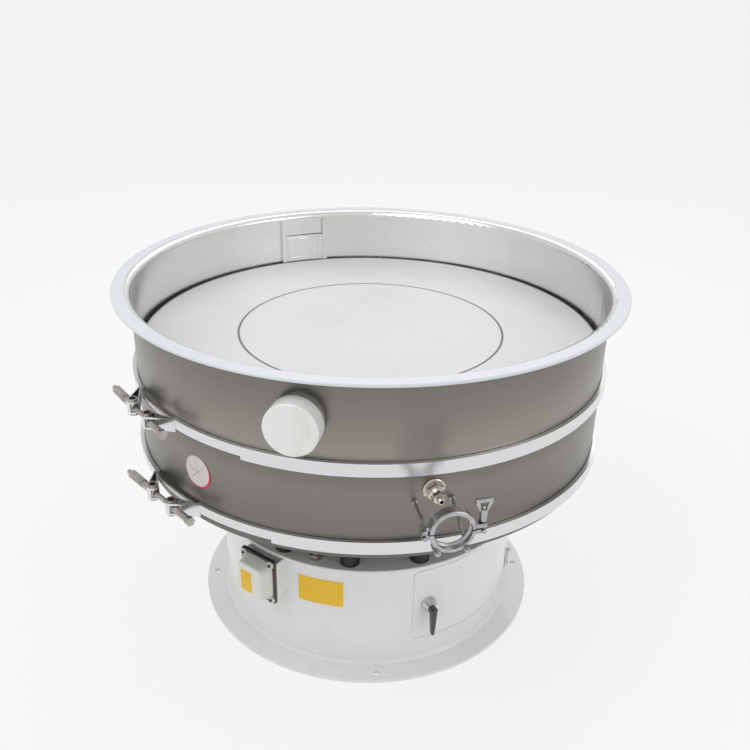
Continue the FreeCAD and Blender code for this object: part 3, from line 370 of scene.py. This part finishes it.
# Each material's maker and what it is given: colour and roughness first, then what its maker names.
RECIPES = {
    # The next two steels are darker and lighter copies of one steel: painted shade on the outer
    # walls and spouts, painted light on the inner walls, the rim's upper faces and the inner parts.
    "frame_steel": (
        turned_metal, (0.225, 0.213, 0.193), 0.34, 0.06, 0.10, 0.02, WALL_PAINTED_SHADING),
    "inner_steel": (turned_metal, (0.84, 0.84, 0.83), 0.24, 0.05, 0.10, 0.03),
    "band_steel": (turned_metal, (0.74, 0.74, 0.76), 0.22, 0.02, 0.03),
    "bright_cast": (cast_metal, (0.46, 0.46, 0.48), 0.22),
    "zinc": (cast_metal, (0.45, 0.43, 0.40), 0.30),
    "nickel": (cast_metal, (0.62, 0.58, 0.52), 0.13),
    "chrome": (cast_metal, (0.62, 0.62, 0.64), 0.08),
    "white_paint": (painted, (0.87, 0.87, 0.86), 0.28),
    "motor_paint": (painted, (0.12, 0.17, 0.23), 0.4),
    "white_silicone": (moulded, (0.73, 0.75, 0.79), 0.34, 600.0, 0.15, 0.02),
    "black_rubber": (moulded, (0.012, 0.012, 0.013), 0.5, 700.0, 0.0, 0.08),
    "dark_plastic": (moulded, (0.03, 0.03, 0.035), 0.30, 500.0, 0.4, 0.08),
    "cream_plastic": (moulded, (0.80, 0.81, 0.75), 0.32, 500.0, 0.2, 0.03),
    "ivory_plastic": (cap_plastic,),
    "yellow_label": (moulded, (0.90, 0.56, 0.02), 0.4, 300.0, 0.1, 0.04),
    "white_label": (disc_sticker,),
    "iron": (cast_metal, (0.12, 0.12, 0.125), 0.5),
    "wire_cloth": (wire_cloth,),
}
MATERIALS = {name: make(name, *values) for name, (make, *values) in RECIPES.items()}

# The nodes that wear each material.
FINISHES = {
    "white_paint": (
        "base_foot", "base_shell", "base_top", "access_door", "door_hinge_leaves",
        "door_hinge_knuckles", "box_bracket"),
    "frame_steel": (
        "lower_frame", "middle_frame", "upper_frame", "fines_spout", "coarse_spout"),
    "inner_steel": (
        "discharge_dome", "inspection_pipe", "screen_frame", "resonator_ring", "gate_guides",
        "discharge_gate"),
    "band_steel": ("lower_clamp_band", "upper_clamp_band"),
    "bright_cast": (
        "holder_studs", "holder_clamp_lower", "holder_clamp_upper", "holder_clamp_link",
        "holder_clamp_pins", "swing_bolt", "wing_nut", "motor_bearings", "rotor_shaft"),
    "zinc": (
        "spring_lower_nuts", "spring_upper_nuts", "limit_studs", "door_hinge_pins",
        "handle_cam", "lower_latch_trunnions", "lower_latch_rod", "lower_latch_nut",
        "upper_latch_trunnions", "upper_latch_rod", "upper_latch_nut", "motor_bolts"),
    "nickel": ("side_fitting", "side_gland"),
    "chrome": ("handle_rosette",),
    "motor_paint": ("motor_housing",),
    "white_silicone": ("lower_seal", "screen_seal", "rim_trim"),
    "black_rubber": ("rubber_springs",),
    "dark_plastic": ("junction_box", "door_handle"),
    "cream_plastic": ("junction_box_cover",),
    "ivory_plastic": ("port_cap",),
    "yellow_label": ("caution_labels",),
    "white_label": ("disc_label",),
    "iron": ("junction_box_screws", "upper_weight", "lower_weight", "phase_weight"),
    "wire_cloth": ("screen_mesh",),
}


def smooth(mesh, sharp):
    """Smooth shading, with edges beyond an angle drawn sharp."""
    for polygon in mesh.polygons:
        polygon.use_smooth = True
    mesh.set_sharp_from_angle(angle=sharp)


def dress_nodes():
    for finish, names in FINISHES.items():
        for name in names:
            mesh = NODES[name].data
            mesh.materials.clear()
            mesh.materials.append(MATERIALS[finish])
            smooth(mesh, SHARP_NODE)


def paint_inner_light(name):
    """Gives a frame's inside wall, and its rolled rim, the lighter copy of the steel: painted
    light.
    """
    mesh = NODES[name].data
    mesh.materials.append(MATERIALS["inner_steel"])
    for polygon in mesh.polygons:
        center = polygon.center
        radial = Vector((center.x, center.y, 0.0))
        inward = polygon.normal.dot(radial.normalized()) < -0.2
        rolled = center.z > TOP - ROLLED_RIM_DEPTH and polygon.normal.z > 0.05
        if rolled or (inward and radial.length < FLANGE_RADIUS - INNER_WALL_MARGIN):
            polygon.material_index = 1


# ---------------------------------------------------------------- rubber springs

def turned_mesh(name, profile, centers):
    """A mesh of equal turned bodies.

    profile is a closed outline of (radius, height), from the axis back to the axis, and each
    body stands on its own upright axis.
    """
    turns = [(math.cos(math.tau * i / TURNED_SEGMENTS), math.sin(math.tau * i / TURNED_SEGMENTS))
             for i in range(TURNED_SEGMENTS)]
    bm = bmesh.new()
    for x, y in centers:
        rings = [[bm.verts.new((x + radius * c, y + radius * s, height))
                  for c, s in (turns if radius else [(0.0, 0.0)])]
                 for radius, height in profile]
        for low, high in zip(rings, rings[1:]):
            for i in range(TURNED_SEGMENTS):
                j = (i + 1) % TURNED_SEGMENTS
                if len(low) == 1:
                    bm.faces.new((low[0], high[j], high[i]))
                elif len(high) == 1:
                    bm.faces.new((low[i], low[j], high[0]))
                else:
                    bm.faces.new((low[i], low[j], high[j], high[i]))
    bmesh.ops.recalc_face_normals(bm, faces=bm.faces)
    mesh = bpy.data.meshes.new(name)
    bm.to_mesh(mesh)
    bm.free()
    smooth(mesh, SHARP_TURNED)
    piece = bpy.data.objects.new(name, mesh)
    bpy.context.scene.collection.objects.link(piece)
    return piece


def spring_profile():
    """Half-section of a spring: chamfered ends, a slight waist and shallow grooves."""
    height = FRAME_LOW - BASE_TOP
    end = SPRING_RADIUS - SPRING_CHAMFER
    profile = [(0.0, 0.0), (end, 0.0), (SPRING_RADIUS, SPRING_CHAMFER)]
    for i in range(1, SPRING_STEPS):
        t = i / SPRING_STEPS
        waist = SPRING_WAIST * math.sin(math.pi * t)
        groove = 0.0
        if SPRING_PLAIN_END < t < 1 - SPRING_PLAIN_END:
            groove = SPRING_GROOVE * (1 - math.cos(SPRING_GROOVES * math.tau * t)) / 2
        profile.append((SPRING_RADIUS - waist - groove, height * t))
    profile += [(SPRING_RADIUS, height - SPRING_CHAMFER), (end, height), (0.0, height)]
    return [(radius, BASE_TOP + z) for radius, z in profile]


def make_springs():
    """Rubber springs from the base's top up to the sieve body, in place of the rigid CAD solids."""
    centers = []
    for i in range(SPRING_COUNT):
        azimuth = SPRING_PHASE + math.tau * i / SPRING_COUNT
        centers.append((SPRING_CIRCLE * math.sin(azimuth), -SPRING_CIRCLE * math.cos(azimuth)))
    piece = turned_mesh("spring_buffers", spring_profile(), centers)
    piece.data.materials.append(MATERIALS["black_rubber"])
    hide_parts("rubber_springs")
    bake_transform(piece)


# ---------------------------------------------------------------- stage, light, camera

def make_floor():
    """Endless pale floor that keeps the object's shadow and glows white toward the camera."""
    h = FLOOR_HALF
    mesh = bpy.data.meshes.new("floor")
    mesh.from_pydata([(-h, -h, 0), (h, -h, 0), (h, h, 0), (-h, h, 0)], [], [(0, 1, 2, 3)])
    floor = bpy.data.objects.new("floor", mesh)
    bpy.context.scene.collection.objects.link(floor)
    s = Shader("floor")
    s.color((0.88, 0.88, 0.88))
    s.set(Roughness=0.7)
    path = s.add("ShaderNodeLightPath")
    seen = s.math("MAXIMUM", path.outputs["Is Camera Ray"], path.outputs["Is Glossy Ray"])
    seen = s.math("MAXIMUM", seen, path.outputs["Is Transmission Ray"])
    glow = s.add("ShaderNodeEmission")
    glow.inputs["Strength"].default_value = 1.0
    mixer = s.add("ShaderNodeMixShader")
    s.link(s.times(seen, FLOOR_GLOW), mixer.inputs[0])
    s.link(s.bsdf.outputs["BSDF"], mixer.inputs[1])
    s.link(glow.outputs[0], mixer.inputs[2])
    s.link(mixer.outputs[0], s.output.inputs["Surface"])
    mesh.materials.append(s.material)


def make_world():
    """White surroundings: full white where seen, softer as light on the object."""
    world = bpy.data.worlds.new("studio")
    bpy.context.scene.world = world
    world.use_nodes = True
    tree = world.node_tree
    background = tree.nodes["Background"]
    background.inputs["Color"].default_value = (1, 1, 1, 1)
    path = tree.nodes.new("ShaderNodeLightPath")
    seen = tree.nodes.new("ShaderNodeMath")
    seen.operation = "MAXIMUM"
    tree.links.new(path.outputs["Is Camera Ray"], seen.inputs[0])
    tree.links.new(path.outputs["Is Transmission Ray"], seen.inputs[1])
    strength = tree.nodes.new("ShaderNodeMapRange")
    strength.inputs["To Min"].default_value = WORLD_LIGHT
    strength.inputs["To Max"].default_value = WORLD_SEEN
    tree.links.new(seen.outputs[0], strength.inputs["Value"])
    tree.links.new(strength.outputs["Result"], background.inputs["Strength"])


def make_lamps():
    """Three soft lamps: one from the left, one from the right and one from behind."""
    for name, place, size, power in LAMPS:
        data = bpy.data.lights.new(name, "AREA")
        data.size = size
        data.energy = power
        lamp = bpy.data.objects.new(name, data)
        lamp.location = place
        lamp.rotation_euler = (LAMP_AIM - Vector(place)).to_track_quat("-Z", "Y").to_euler()
        bpy.context.scene.collection.objects.link(lamp)


def make_camera():
    """Camera in front of the machine, looking down at it by about 27 degrees."""
    data = bpy.data.cameras.new("camera")
    data.sensor_width = CAMERA_SENSOR
    data.lens = CAMERA_LENS
    data.shift_x, data.shift_y = CAMERA_SHIFT
    camera = bpy.data.objects.new("camera", data)
    turn = (Matrix.Rotation(-CAMERA_YAW, 4, "Z")
            @ Matrix.Rotation(math.pi / 2 - CAMERA_PITCH, 4, "X")
            @ Matrix.Rotation(CAMERA_ROLL, 4, "Z"))
    camera.matrix_world = Matrix.Translation(CAMERA_PLACE) @ turn
    bpy.context.scene.collection.objects.link(camera)
    bpy.context.scene.camera = camera


def main():
    dress_nodes()
    # Painted light: the frames' inner walls and rolled rim get the lighter copy of the steel.
    for name in ("upper_frame", "middle_frame"):
        paint_inner_light(name)
    make_springs()
    make_floor()
    make_world()
    make_lamps()
    make_camera()
    bpy.context.scene.view_settings.view_transform = "Standard"


main()
